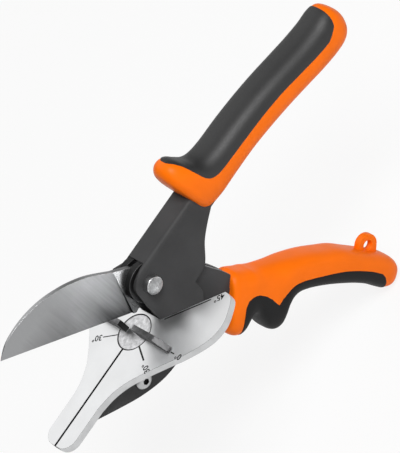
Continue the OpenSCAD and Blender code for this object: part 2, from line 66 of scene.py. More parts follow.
bl_info = {
    "name": "Mitre Shears",
    "version": (1, 0, 0),
    "blender": (4, 5, 0),
    "location": "View3D > Sidebar > Shears",
    "description": "Builds the visual pieces of a pair of mitre shears and the stage they are shown on",
    "category": "Object",
}

MM = 0.001
pivot_joint = next(j for j in frame["joints"] if j["name"] == "blade_pivot")
PIVOT = np.array(pivot_joint["pos_m"]) / MM
OPEN_TURN = np.radians(pivot_joint["range_deg"][1])

# One section of a handle: x and z of its outer side, x and z of its inner side, half width. All in mm.
UPPER_ROWS = [
    [65.2, 40.4, 68, 16, 7.5], [66.2, 45, 68.4, 13, 9.5], [69, 48, 70.2, 11.2, 11.1],
    [72.8, 48.5, 72.8, 10, 11.5], [76.6, 46, 76, 9.6, 11.5], [79.4, 41, 78.8, 9.6, 11.5],
    [82.4, 36.3, 81.8, 9.8, 11.5], [87, 33.6, 86.6, 10.2, 11.5], [95, 32.3, 95, 10.5, 11.5],
    [108, 31.9, 108, 10.3, 11.5], [122, 30.9, 122, 8.9, 11.5], [136, 29.2, 136, 6.9, 11.5],
    [150, 26.8, 149, 4.5, 11.5], [162, 24.8, 160.4, 2.3, 11.5], [172, 23.9, 170.6, 0.9, 11.3],
    [179.4, 24.2, 178.4, 0.9, 10.7], [184.6, 22.8, 183.6, 3.6, 8.9], [187.4, 17.6, 187, 9.4, 5.5],
]
# The lower handle's sections are measured from the pivot with the shears closed.
LOWER_ROWS = [
    [46.2, -38, 49.6, -17, 7.4], [46.2, -42.6, 50, -13.8, 9.6], [48.6, -46, 52.4, -12.3, 10.8],
    [52, -47.2, 55, -12.5, 11], [55.4, -45.8, 57.8, -13.2, 11], [58.4, -41.8, 60.4, -13.8, 11],
    [61.4, -38.4, 63, -14.2, 11], [64.4, -39, 65.6, -14.9, 11], [67.4, -44.2, 68.4, -15.3, 11],
    [70.8, -49, 71.4, -15.4, 11], [74.8, -51.1, 74.8, -15.5, 11], [78.4, -50.2, 77.6, -15.6, 11],
    [80.8, -46.8, 79.9, -15.7, 11], [83.1, -41.8, 82.3, -15.8, 11], [86.2, -37.6, 85.2, -15.9, 11],
    [90.4, -35.4, 89.4, -16.1, 11], [96, -35.2, 96, -16.5, 11], [102, -35.9, 103, -17.4, 11],
    [109, -37.2, 111, -19, 11], [117, -39.2, 119.6, -20.9, 11], [125.4, -41.6, 128.4, -24.6, 11],
    [133.2, -44.6, 137, -28.3, 10.9], [139.6, -48.2, 144.2, -31.3, 10.6], [144.4, -50.7, 149.6, -34.2, 10],
    [148.8, -51.3, 153.4, -37.8, 8.6], [152, -50, 155.2, -41.6, 6.6], [153.6, -48, 155.4, -44, 5],
]
# Where a soft grip starts on the side: place along the rows, share of the half height above the middle.
UPPER_SEAM = [
    [3.1, 0.999], [3.5, 0.955], [4, 0.84], [4.5, 0.56], [5, 0.28], [5.5, 0.215], [6, 0.2], [6.5, 0.19],
    [7, 0.18], [8, 0.19], [9, 0.17], [10, 0.21], [11, 0.23], [12, 0.2], [13, 0.17], [14, 0.15], [15, 0.37],
    [15.3, 0.6], [15.45, 0.85], [15.52, 0.999],
]
LOWER_SEAM = [
    [3.1, 0.75], [3.2, 0.35], [3.4, 0.05], [4, -0.12], [5, -0.1], [6, 0], [7, 0.02], [8, -0.08], [9, -0.06],
    [10.1, 0.14], [11, 0], [12, 0.01], [13, 0.08], [14, 0.16], [15, 0.22], [16, 0.25], [17, 0.24],
    [18, 0.18], [19, 0.12], [20, 0.06], [21, 0.04], [22, 0.08], [22.4, 0.25], [22.7, 0.55], [22.85, 0.85],
    [22.92, 0.999],
]
# Middle of the hang hole, measured as the lower handle is, and the way from it to the loop's root. In mm.
HANG_HOLE = (139.4, -26.4)
HANG_ROOT = (-1.5, -9)
# How much further the hang loop reaches towards its root, in mm, and the points round it and its section.
LOOP_FOOT = 4
LOOP_COUNT = 64
LOOP_AROUND = 48
# Powers of the squared ellipses: 2 is a plain ellipse, and more is squarer.
UPPER_POWER = 2.5
LOWER_POWER = 3.1
LOOP_POWER = 8
# Extra sections close to an end, as places along the rows.
END_STEPS = np.geomspace(0.01, 0.15, 5)
# Points over a soft grip's edge, as shares of its width, and the most of the grip's turn that an edge takes.
LIP_STEPS = np.array([[0, 0.06, 0.2, 0.5, 1]])
LIP_MOST = 0.45

# Printed lines: angle from the cut's square, side of the cut, start and end from the centre, width.
# Angles are in degrees, lengths in mm.
PRINT_LINES = [
    [0, -1, 30, 33, 0.6], [30, -1, 10, 20.3, 1.0], [30, 1, 10, 19.5, 0.55], [-45, -1, 18, 45.7, 0.7],
    [-45, 1, 16, 22, 0.7],
]
# Printed numerals: text, angle from the cut's square, side of the cut, distance out, shift across.
PRINT_NUMERALS = [
    ["0°", 0, -1, 36.4, 0], ["30°", 30, -1, 25.6, 0], ["30°", 30, 1, 23.2, 0],
    ["45°", -45, -1, 50.4, 0.9], ["45°", -45, 1, 27, 0],
]
# The printed ring round the disc: its two radii in mm, and the points round it.
RING_RADII = (9.8, 10.35)
RING_COUNT = 96

# Points closer than these, in metres, are merged, on new meshes and on copies of CAD meshes.
MERGE_NEW = 1e-6
MERGE_CAD = 2e-6
# CAD triangles that meet at less than this angle become one face.
FLAT_ANGLE = np.radians(0.5)
# The jaw bolt's hex socket: middle of the head and reach in mm, and the most that its faces look outwards.
JAW_BOLT = (-16.5, -16)
SOCKET_REACH = 1.8
SOCKET_OUTWARDS = 0.01
# The table's groove: lowest and highest middle of its faces, half width, and end at the disc. In mm.
GROOVE_HEIGHTS = (-2, -0.2)
GROOVE_HALF = 0.65
GROOVE_END = -9
# Highest middle of the faces of the fence's disc, in mm.
DISC_TOP = 0.05
# Parts of a face's normal that tell bolt faces, sides, tops and unground faces from the rest.
BOLT_FACING = 0.8
SIDE_FACING = 0.5
TOP_FACING = 0.9
UNGROUND_FACING = 0.9999

# Points along the opening spring: its coil, its bend, its leg in the wall and its leg in the cheek.
COIL_COUNT = 120
BEND_COUNT = 9
WALL_LEG_COUNT = 6
CHEEK_LEG_COUNT = 8

# Noise seldom leaves this range.
NOISE_RANGE = (0.3, 0.7)

# Lamps: size, and place from the object's middle. In metres.
LAMPS = {
    "key": (0.4, (0.12, -0.48, 0.87)),
    "back": (1.2, (0.15, 0.9, 0.8)),
    "fill": (1.1, (-0.3, -1.0, 0.36)),
}
# The floor's half width and its gap under the object, and how far the camera sees. In metres.
FLOOR_HALF = 20.0
FLOOR_GAP = 0.0005
VIEW_END = 50


def colour(name, description, default):
    """A colour setting, in linear light."""
    return FloatVectorProperty(name=name, description=description, default=default, size=3, min=0, max=1,
                               subtype="COLOR")


def length(name, description, default):
    """A length setting, in metres."""
    return FloatProperty(name=name, description=description, default=default, unit="LENGTH", precision=5)


def camera_turn(name, description, degrees):
    """An angle setting, given in degrees."""
    return FloatProperty(name=name, description=description, default=np.radians(degrees), subtype="ANGLE")


def lamp_power(name, description, default):
    """A lamp's power setting, in watts."""
    return FloatProperty(name=name, description=description, default=default, unit="POWER")


class ShearsColours(PropertyGroup):
    """Colours of the finishes."""

    orange_plastic: colour("Orange plastic", "Hard shells and hang loop", (0.9, 0.158, 0.001))
    black_grip: colour("Black grip", "Soft grip of the upper handle", (0.006, 0.006, 0.0063))
    # Painted shade: a copy of the grip with less shine, so that the same grip renders darker on the lower handle.
    dull_grip: colour("Dull grip", "Soft grip of the lower handle", (0.006, 0.006, 0.0063))
    black_coat: colour("Black coat", "Channel and bracket", (0.046, 0.046, 0.047))
    # Partly real wear and partly a painted highlight: the lit sheet edges are made lighter.
    worn_coat: colour("Worn coat", "Edges of the coated sheet", (0.11, 0.11, 0.112))
    # Painted shade: the cheeks' tone darkens towards the nose, where the gap beside the blade lies in shade.
    arm_black: colour("Arm black", "Cheeks beside the blade", (0.026, 0.026, 0.027))
    table_metal: colour("Table metal", "Top and underside of the table", (0.72, 0.725, 0.73))
    # Painted shade: the table's rounded edge is made a dark line between its top and its sides.
    table_edge: colour("Table edge", "Rounded edge of the table", (0.14, 0.142, 0.145))
    # Painted shade: the sides of the table are made darker than its top, which is the same metal.
    table_rim: colour("Table rim", "Sides of the table", (0.62, 0.625, 0.63))
    # Painted dark reflection: the bar tops are made darker than the disc, which is the same metal.
    fence_metal: colour("Fence metal", "Tops of the fence's bars", (0.22, 0.22, 0.225))
    # Painted shade: the bars' sides and slopes are made darker than their tops.
    fence_side: colour("Fence side", "Sides and slopes of the fence's bars", (0.09, 0.09, 0.092))
    disc_metal: colour("Disc metal", "Turning disc of the fence", (0.56, 0.56, 0.57))
    # Painted dark reflection: the ground faces darken towards the heel.
    blade_steel: colour("Blade steel", "Ground faces of the blade", (0.19, 0.192, 0.195))
    # Painted shade: the heel and the blade's edges darken towards the bottom, under the cheek's nose.
    heel_steel: colour("Heel steel", "Unground heel and edges of the blade", (0.27, 0.272, 0.275))
    bright_steel: colour("Bright steel", "Bolts, nuts, screws and pins", (0.5, 0.505, 0.51))
    bolt_face: colour("Bolt face", "Face of the pivot bolt's head", (0.36, 0.363, 0.367))
    # Painted highlight: the rounded edge of the pivot bolt's head is made bright.
    bolt_rim: colour("Bolt rim", "Rounded edge of the pivot bolt's head", (0.85, 0.855, 0.86))
    bush_bronze: colour("Bush bronze", "Sleeve on the pivot", (0.47, 0.32, 0.12))
    washer_plastic: colour("Washer plastic", "Thrust washers", (0.73, 0.72, 0.69))
    spring_steel: colour("Spring steel", "Opening spring", (0.3, 0.3, 0.31))
    # Real print on the angle marks; in the groove, the hex socket and the bars' inner ends it is painted shade.
    print_black: colour("Print black", "Angle marks, groove, hex socket and inner ends of the bars",
                        (0.012, 0.012, 0.012))


class ShearsHandles(PropertyGroup):
    """Sizes of the two moulded handles."""

    steps: IntProperty(name="Steps", description="Sections made between two given ones", default=6, min=1,
                       max=12)
    around: IntProperty(name="Around", description="Points round a section", default=128, min=16)
    end_round: length("End round", "Rounding of a handle's ends", 0.0012)
    grip_lift: length("Grip lift", "How far a soft grip stands above the shell", 0.0003)
    grip_edge: length("Grip edge", "Width of a soft grip's rounded edge", 0.0007)
    grip_root: length("Grip root", "How deep a soft grip sits in the shell", 0.0008)
    loop_bore: length("Loop bore", "Radius of the hang hole", 0.0025)
    loop_reach: length("Loop reach", "Outer radius of the hang loop", 0.006)
    loop_half: length("Loop half", "Half the hang loop's thickness", 0.002)


class ShearsMetal(PropertyGroup):
    """Sizes of the metal pieces' finish."""

    edge: length("Edge", "Rounding of sheet edges", 0.0003)
    table_edge: length("Table edge", "Rounding of the table", 0.0004)
    fine_edge: length("Fine edge", "Rounding of ground edges", 0.00012)
    digit: length("Digit", "Size of the printed numerals", 0.0046)
    digit_weight: length("Digit weight", "Added to the numerals' strokes", 0.00008)
    print_lift: length("Print lift", "Height of the print on the table", 0.00004)


class ShearsSpring(PropertyGroup):
    """Sizes of the opening spring."""

    coil: length("Coil", "Radius of the coil", 0.0066)
    wire: length("Wire", "Radius of the wire", 0.0005)
    turns: FloatProperty(name="Turns", description="Turns of the coil", default=1.4)
    lift: length("Lift", "How far the wall's leg stands outside the coil", 0.001)
    bend: length("Bend", "Radius of the bend into the wall's leg", 0.001)
    reach: length("Reach", "From the pivot to the end of the cheek's leg", 0.011)
    gap: length("Gap", "Room beside the wire", 0.00015)


class ShearsStage(PropertyGroup):
    """Camera and light of the stage."""

    azimuth: camera_turn("Azimuth", "Turn of the camera round Z", -9.3)
    elevation: camera_turn("Elevation", "Height of the camera", 41.35)
    roll: camera_turn("Roll", "Roll of the camera", -48.86)
    target: FloatVectorProperty(name="Target", description="Point in the middle of the picture", size=3,
                                default=(0.0607, -0.0033, 0.0074), subtype="TRANSLATION")
    span: length("Span", "Height of the picture at the target", 0.2232)
    distance: length("Distance", "From the camera to the target", 2.4)
    key: lamp_power("Key", "Power of the light above", 8.5)
    back: lamp_power("Back", "Power of the large light behind", 4.6)
    fill: lamp_power("Fill", "Power of the light in front", 2.8)
    world: FloatProperty(name="World", description="Strength of the light all round", default=0.2)
    white: FloatProperty(name="White", description="Share of plain white in the floor as it is seen",
                         default=0.86, subtype="FACTOR")


def row_at(rows, place):
    """Rows at places along the list: a cubic through each pair of rows, whose slope at a row is half the way
    from the row before it to the row after it."""
    rows = np.asarray(rows, float)
    ends = np.vstack([rows[:1], rows, rows[-1:]])
    first = np.clip(np.floor(place).astype(int), 0, len(rows) - 2)
    t = (place - first)[:, None]
    before, start, end, after = (ends[first + k] for k in range(4))
    return start + t / 2 * (end - before + t * (2 * before - 5 * start + 4 * end - after
                                                + t * (3 * start - before - 3 * end + after)))


def squared_off(value, power):
    """A sine or cosine to the power 2 / power, with its sign kept."""
    return np.sign(value) * np.abs(value) ** (2 / power)


def section_points(rows, angle, inset, power):
    """Points of a squared ellipse: the sine and the cosine of the angle, both squared off, times half the
    height and half the width, both less the inset."""
    outer, inner = rows[:, 0:2], rows[:, 2:4]
    middle, reach = (outer + inner) / 2, (outer - inner) / 2
    half_height = np.hypot(reach[:, 0], reach[:, 1])[:, None]
    way = reach / half_height
    lift = (half_height - inset) * squared_off(np.sin(angle), power)
    return np.stack([middle[:, :1] + way[:, :1] * lift,
                     np.sign(reach[:, 1:]) * (rows[:, 4:5] - inset) * squared_off(np.cos(angle), power),
                     middle[:, 1:] + way[:, 1:] * lift], axis=-1)


def way_along(points):
    """How far each point lies along the line through them all."""
    return np.concatenate([[0], np.cumsum(np.hypot(*np.diff(points, axis=0).T))])


def quarter_round(distance, width):
    """Height from 0 to 1 of a quarter circle's edge, at a distance from it given with the edge's width."""
    return np.sqrt(1 - (1 - np.clip(distance / width, 0, 1)) ** 2)


def shell_points(rows, power, sizes):
    """Hard shell: whole sections along the rows, drawn in towards both ends along a quarter circle."""
    last, radius = len(rows) - 1, sizes.end_round / MM
    even = np.linspace(0, last, last * sizes.steps + 1)
    row = row_at(rows, np.unique(np.concatenate([even, END_STEPS, last - END_STEPS])))
    along = way_along((row[:, 0:2] + row[:, 2:4]) / 2)
    inset = radius * (1 - quarter_round(np.minimum(along, along[-1] - along), radius))
    angle = np.linspace(0, 2 * np.pi, sizes.around, endpoint=False)[None, :]
    return section_points(row, angle + 0 * inset[:, None], inset[:, None], power)


def grip_points(rows, power, seam, sizes):
    """Soft grip: from the seam on one side over the outer side to the other and back underneath. Its edge
    rises along a quarter circle of the distance to the seam or to the grip's ends, whichever is less."""
    lift, edge, root = (size / MM for size in (sizes.grip_lift, sizes.grip_edge, sizes.grip_root))
    seam = np.asarray(seam, float)
    first, last = seam[[0, -1], 0]
    even = np.linspace(first, last, int(2 * sizes.steps * (last - first)))
    place = np.unique(np.concatenate([even, first + END_STEPS, last - END_STEPS]))
    row = row_at(rows, place)
    split = np.interp(place, seam[:, 0], seam[:, 1])[:, None]
    start = np.arcsin(np.sign(split) * np.abs(split) ** (power / 2))
    span = np.pi - 2 * start
    size = (row[:, 4:5] + np.hypot(row[:, 0:1] - row[:, 2:3], row[:, 1:2] - row[:, 3:4]) / 2) / 2
    lip = np.minimum(edge * LIP_STEPS / size, LIP_MOST * span)
    t = np.linspace(0, 1, sizes.around // 2)[None, 1:-1]
    seen = lip[:, -1:] + t * (span - 2 * lip[:, -1:])
    turn = np.hstack([lip, seen, span - lip[:, ::-1]])
    along = way_along(row[:, 0:2])
    to_seam, to_end = np.minimum(turn, span - turn) * size, np.minimum(along, along[-1] - along)[:, None]
    under = span * np.linspace(1, 0, sizes.around // 6)[None, :]
    inset = np.hstack([-lift * quarter_round(np.minimum(to_seam, to_end), edge), root + 0 * under])
    return section_points(row, start + np.hstack([turn, under]), inset, power)


def opened(points):
    """Turns points measured from the pivot in the closed pose to where they are with the shears open."""
    cos, sin = np.cos(OPEN_TURN), np.sin(OPEN_TURN)
    x, y, z = np.moveaxis(points, -1, 0)
    return np.stack([x * cos + z * sin + PIVOT[0], y, z * cos - x * sin + PIVOT[2]], axis=-1)


def wire_points(path, side, radius, around=16):
    """A circle carried along a path: one of its axes is the side way, made square to the path, and the other
    is square to both."""
    along = np.gradient(path, axis=0)
    along /= np.linalg.norm(along, axis=1, keepdims=True)
    side = side - along * np.sum(side * along, axis=1, keepdims=True)
    side /= np.linalg.norm(side, axis=1, keepdims=True)
    angle = np.linspace(0, 2 * np.pi, around, endpoint=False)[None, :, None]
    circle = np.cos(angle) * side[:, None] + np.sin(angle) * np.cross(along, side)[:, None]
    return path[:, None] + radius * circle


def tube_mesh(name, points, closed=False):
    """Mesh of a grid of points, rows along and columns round. The columns meet, and either the rows meet too
    or both ends get a face."""
    count, around = points.shape[:2]
    row = np.arange(count if closed else count - 1)[:, None]
    column = np.arange(around)[None, :]
    after, beside = (row + 1) % count, (column + 1) % around
    quads = np.stack([row * around + column, row * around + beside, after * around + beside,
                      after * around + column], axis=-1).reshape(-1, 4)
    faces = quads.tolist()
    if not closed:
        faces += [np.arange(around)[::-1].tolist(), (np.arange(around) + (count - 1) * around).tolist()]
    mesh = bpy.data.meshes.new(name)
    mesh.from_pydata(points.reshape(-1, 3).tolist(), [], faces)
    return mesh


def tidy_mesh(mesh, angle=35):
    """Merges points that meet, turns every face outwards and keeps edges sharper than the angle."""
    work = bmesh.new()
    work.from_mesh(mesh)
    bmesh.ops.remove_doubles(work, verts=work.verts, dist=MERGE_NEW)
    bmesh.ops.recalc_face_normals(work, faces=work.faces)
    if work.calc_volume(signed=True) < 0:
        bmesh.ops.reverse_faces(work, faces=work.faces)
    work.to_mesh(mesh)
    work.free()
    mesh.shade_smooth()
    mesh.set_sharp_from_angle(angle=np.radians(angle))
    return mesh


def new_piece(name, mesh, body, slot, nodes=()):
    """A piece at the origin that rides a body, takes a slot's material and stands for the given CAD nodes."""
    piece = bpy.data.objects.new(name, mesh)
    bpy.context.scene.collection.objects.link(piece)
    mesh.materials.clear()
    mesh.materials.append(finish(slot))
    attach(piece, body)
    if nodes:
        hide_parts(*nodes)
    return piece


def softened(node, name, body, slot, width, edge_slot=None, limit=30, flat=30):
    """A merged copy of a CAD node, flat faces joined, with its edges rounded by a bevel that may have its own
    finish. Edges past the limit angle are rounded. Faces that meet past the flat angle are shaded apart."""
    mesh = frame["nodes"][node].data.copy()
    work = bmesh.new()
    work.from_mesh(mesh)
    bmesh.ops.remove_doubles(work, verts=work.verts, dist=MERGE_CAD)
    bmesh.ops.dissolve_limit(work, angle_limit=FLAT_ANGLE, verts=work.verts, edges=work.edges)
    work.to_mesh(mesh)
    work.free()
    mesh.name = name
    mesh.shade_smooth()
    mesh.set_sharp_from_angle(angle=np.radians(flat))
    piece = new_piece(name, mesh, body, slot, (node,))
    bevel = piece.modifiers.new("edges", "BEVEL")
    bevel.width = width
    bevel.segments = 2
    bevel.limit_method = "ANGLE"
    bevel.angle_limit = np.radians(limit)
    bevel.harden_normals = True
    if edge_slot:
        mesh.materials.append(finish(edge_slot))
        bevel.material = 1
    return piece


def face_values(mesh, name):
    """A vector of every face of a mesh, such as its centre or its normal, one row per face."""
    values = np.zeros(len(mesh.polygons) * 3)
    mesh.polygons.foreach_get(name, values)
    return values.reshape(-1, 3)


def paint(mesh, chosen, slot):
    """Gives the chosen faces a finish of their own."""
    index = np.zeros(len(mesh.polygons), np.int32)
    mesh.polygons.foreach_get("material_index", index)
    index[chosen] = len(mesh.materials)
    mesh.materials.append(finish(slot))
    mesh.polygons.foreach_set("material_index", index)


def shader_nodes(tree, *kinds):
    """New shader nodes of the given kinds, in order."""
    return [tree.nodes.new("ShaderNode" + kind) for kind in kinds]


def spread_noise(node, low, high):
    """Sets a map range node to carry noise to the values between low and high."""
    node.inputs["From Min"].default_value, node.inputs["From Max"].default_value = NOISE_RANGE
    node.inputs["To Min"].default_value, node.inputs["To Max"].default_value = low, high


def new_group(name, inputs, outputs):
    """An empty shader group with named sockets, its input node and its output node."""
    tree = bpy.data.node_groups.new(name, "ShaderNodeTree")
    for socket_name, kind, value in inputs:
        socket = tree.interface.new_socket(name=socket_name, in_out="INPUT", socket_type=kind)
        socket.default_value = value
    for socket_name, kind in outputs:
        tree.interface.new_socket(name=socket_name, in_out="OUTPUT", socket_type=kind)
    return tree, tree.nodes.new("NodeGroupInput"), tree.nodes.new("NodeGroupOutput")


def grain_group():
    """Shader group: noise over the given coordinates, as a mask and as a bumped normal."""
    known = bpy.data.node_groups.get("surface_grain")
    if known:
        return known
    tree, source, result = new_group(
        "surface_grain",
        (("Vector", "NodeSocketVector", (0, 0, 0)), ("Scale", "NodeSocketFloat", 2000),
         ("Detail", "NodeSocketFloat", 3), ("Depth", "NodeSocketFloat", 1e-5)),
        (("Mask", "NodeSocketFloat"), ("Normal", "NodeSocketVector")))
    noise, bump = shader_nodes(tree, "TexNoise", "Bump")
    for name in ("Vector", "Scale", "Detail"):
        tree.links.new(source.outputs[name], noise.inputs[name])
    tree.links.new(source.outputs["Depth"], bump.inputs["Distance"])
    tree.links.new(noise.outputs["Fac"], bump.inputs["Height"])
    tree.links.new(noise.outputs["Fac"], result.inputs["Mask"])
    tree.links.new(bump.outputs["Normal"], result.inputs["Normal"])
    return tree


def tone_group():
    """Shader group: a colour halfway between low and high, moved by broad noise and by a drift along the
    given coordinates."""
    known = bpy.data.node_groups.get("uneven_tone")
    if known:
        return known
    tree, source, result = new_group(
        "uneven_tone",
        (("Vector", "NodeSocketVector", (0, 0, 0)), ("Scale", "NodeSocketFloat", 60),
         ("Patchiness", "NodeSocketFloat", 1), ("Drift", "NodeSocketVector", (0, 0, 0)),
         ("Low", "NodeSocketColor", (0.4, 0.4, 0.4, 1)), ("High", "NodeSocketColor", (0.6, 0.6, 0.6, 1))),
        (("Color", "NodeSocketColor"),))
    noise, spread, along, patchy, total, mix = shader_nodes(
        tree, "TexNoise", "MapRange", "VectorMath", "Math", "Math", "Mix")
    noise.inputs["Detail"].default_value = 4
    spread.clamp = False
    spread_noise(spread, -0.5, 0.5)
    along.operation = "DOT_PRODUCT"
    patchy.operation = "MULTIPLY_ADD"
    patchy.inputs[2].default_value = 0.5
    total.operation = "ADD"
    mix.data_type = "RGBA"
    tree.links.new(source.outputs["Vector"], noise.inputs["Vector"])
    tree.links.new(source.outputs["Scale"], noise.inputs["Scale"])
    tree.links.new(source.outputs["Vector"], along.inputs[0])
    tree.links.new(source.outputs["Drift"], along.inputs[1])
    tree.links.new(noise.outputs["Fac"], spread.inputs["Value"])
    tree.links.new(spread.outputs["Result"], patchy.inputs[0])
    tree.links.new(source.outputs["Patchiness"], patchy.inputs[1])
    tree.links.new(patchy.outputs["Value"], total.inputs[0])
    tree.links.new(along.outputs["Value"], total.inputs[1])
    tree.links.new(total.outputs["Value"], mix.inputs["Factor"])
    tree.links.new(source.outputs["Low"], mix.inputs["A"])
    tree.links.new(source.outputs["High"], mix.inputs["B"])
    tree.links.new(mix.outputs["Result"], result.inputs["Color"])
    return tree


@dataclass
class Finish:
    """How a surface reflects, and how its tone and its grain change over it. Lengths are in metres."""

    metallic: float = 0
    rough: tuple = (0.4, 0.5)       # lowest and highest roughness
    specular: float = 0.5
    vary: float = 0.08              # how far the tone goes lighter and darker, as a share of it
    blotch: float = 60              # size of the tone's noise, per metre
    patchy: float = 1               # strength of the tone's noise
    drift: tuple = (0, 0, 0)        # change of the tone along X, Y and Z of the stretched pattern, per metre
    centre: tuple = (0, 0, 0)       # where that change is nothing
    grain: float = 2000             # size of the grain's noise, per metre
    depth: float = 1e-5             # depth of the grain
    stretch: tuple = (1, 1, 1)      # stretch of tone and grain


FINISHES = {
    "orange_plastic": Finish(rough=(0.36, 0.46), specular=0.14, vary=0.04, grain=2600, depth=8e-6),
    "black_grip": Finish(rough=(0.5, 0.6), specular=0.7, vary=0.15, grain=2000, depth=6e-5),
    # Painted shade: the same grip as above with less shine, so that the lower grip renders darker.
    "dull_grip": Finish(rough=(0.5, 0.6), specular=0.22, vary=0.15, grain=2000, depth=6e-5),
    "black_coat": Finish(rough=(0.44, 0.54), specular=0.14, vary=0.12, grain=1800, depth=1.2e-5),
    # Partly real wear and partly a painted highlight along the lit sheet edges.
    "worn_coat": Finish(rough=(0.4, 0.5), vary=0.6, blotch=250),
    # Painted shade: darker towards the nose of the cheeks, by the drift along X.
    "arm_black": Finish(rough=(0.36, 0.46), specular=0.2, vary=0.8, patchy=0.1, drift=(45, 0, 0),
                        centre=(0.036, 0, 0), grain=1800, depth=8e-6),
    "table_metal": Finish(1, (0.28, 0.36), vary=0.04, grain=4000, depth=2e-6),
    # Painted shade: the table's sides are darker than its top.
    "table_rim": Finish(1, (0.35, 0.45), vary=0.1, blotch=150, depth=2e-6),
    # Painted shade: a dark line on the table's rounded edge.
    "table_edge": Finish(1, (0.3, 0.4), vary=0.25, blotch=200, depth=2e-6),
    # Painted dark reflection: bar tops darker than the disc of the same metal.
    "fence_metal": Finish(1, (0.42, 0.55), vary=0.3, blotch=260, grain=1500, depth=6e-6),
    # Painted shade: sides and slopes of the bars.
    "fence_side": Finish(1, (0.42, 0.55), vary=0.3, blotch=260, grain=1500, depth=6e-6),
    "disc_metal": Finish(1, (0.25, 0.42), vary=0.3, blotch=420, grain=1200, depth=1e-5),
    # Painted dark reflection: darker towards the heel, by the drift along Z.
    "blade_steel": Finish(1, (0.3, 0.42), vary=0.85, blotch=900, patchy=0.1, drift=(0, 0, 950),
                          centre=(0, 0, 0.034), grain=3000, depth=1.5e-6, stretch=(1, 1, 40)),
    # Painted shade: darker towards the bottom of the heel, by the drift along Z.
    "heel_steel": Finish(1, (0.25, 0.35), vary=0.8, patchy=0.1, drift=(0, 0, 150), centre=(0, 0, 0.0245),
                         depth=2e-6),
    "bright_steel": Finish(1, (0.34, 0.42), vary=0.05, depth=1.5e-6),
    "bolt_face": Finish(1, (0.3, 0.5), vary=0.3, blotch=700, grain=1500, depth=8e-6),
    # Painted highlight: the bright rim of the pivot bolt.
    "bolt_rim": Finish(1, (0.25, 0.35), vary=0.1, blotch=400, depth=2e-6),
    "bush_bronze": Finish(1, (0.25, 0.4), depth=3e-6),
    "washer_plastic": Finish(depth=3e-6),
    "spring_steel": Finish(1, (0.25, 0.4), vary=0.12, depth=3e-6),
    # Real print, and painted shade in the groove, the hex socket and the bars' inner ends.
    "print_black": Finish(rough=(0.5, 0.6), specular=0.2, vary=0.25, depth=1e-6),
}


def finish(slot):
    """A slot's material: a principled surface of uneven tone, whose roughness and normal follow the grain."""
    known = bpy.data.materials.get("shears_" + slot)
    if known:
        return known
    look = FINISHES[slot]
    tint = np.array(getattr(bpy.context.scene.shears_colours, slot))
    made = bpy.data.materials.new("shears_" + slot)
    made.use_nodes = True
    links = made.node_tree.links
    surface = made.node_tree.nodes["Principled BSDF"]
    surface.inputs["Metallic"].default_value = look.metallic
    surface.inputs["Specular IOR Level"].default_value = look.specular
    place, fitted, spread, grain, tone = shader_nodes(
        made.node_tree, "TexCoord", "Mapping", "MapRange", "Group", "Group")
    grain.node_tree, tone.node_tree = grain_group(), tone_group()
    fitted.vector_type = "TEXTURE"
    fitted.inputs["Location"].default_value = look.centre
    fitted.inputs["Scale"].default_value = look.stretch
    grain.inputs["Scale"].default_value = look.grain
    grain.inputs["Depth"].default_value = look.depth
    tone.inputs["Scale"].default_value = look.blotch
    tone.inputs["Patchiness"].default_value = look.patchy
    tone.inputs["Drift"].default_value = look.drift
    tone.inputs["Low"].default_value = (*np.clip(tint * (1 - look.vary), 0, 1), 1)
    tone.inputs["High"].default_value = (*np.clip(tint * (1 + look.vary), 0, 1), 1)
    spread_noise(spread, *look.rough)
    links.new(place.outputs["Object"], fitted.inputs["Vector"])
    links.new(fitted.outputs["Vector"], grain.inputs["Vector"])
    links.new(fitted.outputs["Vector"], tone.inputs["Vector"])
    links.new(tone.outputs["Color"], surface.inputs["Base Color"])
    links.new(grain.outputs["Mask"], spread.inputs["Value"])
    links.new(spread.outputs["Result"], surface.inputs["Roughness"])
    links.new(grain.outputs["Normal"], surface.inputs["Normal"])
    return made


class SHEARS_OT_upper_handle(Operator):
    """Builds the upper handle: hard shell and soft grip"""

    bl_idname = "shears.upper_handle"
    bl_label = "Upper Handle"

    def execute(self, context):
        sizes = context.scene.shears_handles
        shell = tube_mesh("upper_shell", shell_points(UPPER_ROWS, UPPER_POWER, sizes) * MM)
        new_piece("upper_shell", tidy_mesh(shell), "upper_lever", "orange_plastic", ("upper_handle_shell",))
        grip = tube_mesh("upper_grip", grip_points(UPPER_ROWS, UPPER_POWER, UPPER_SEAM, sizes) * MM)
        new_piece("upper_grip", tidy_mesh(grip), "upper_lever", "black_grip", ("upper_handle_grip",))
        return {"FINISHED"}


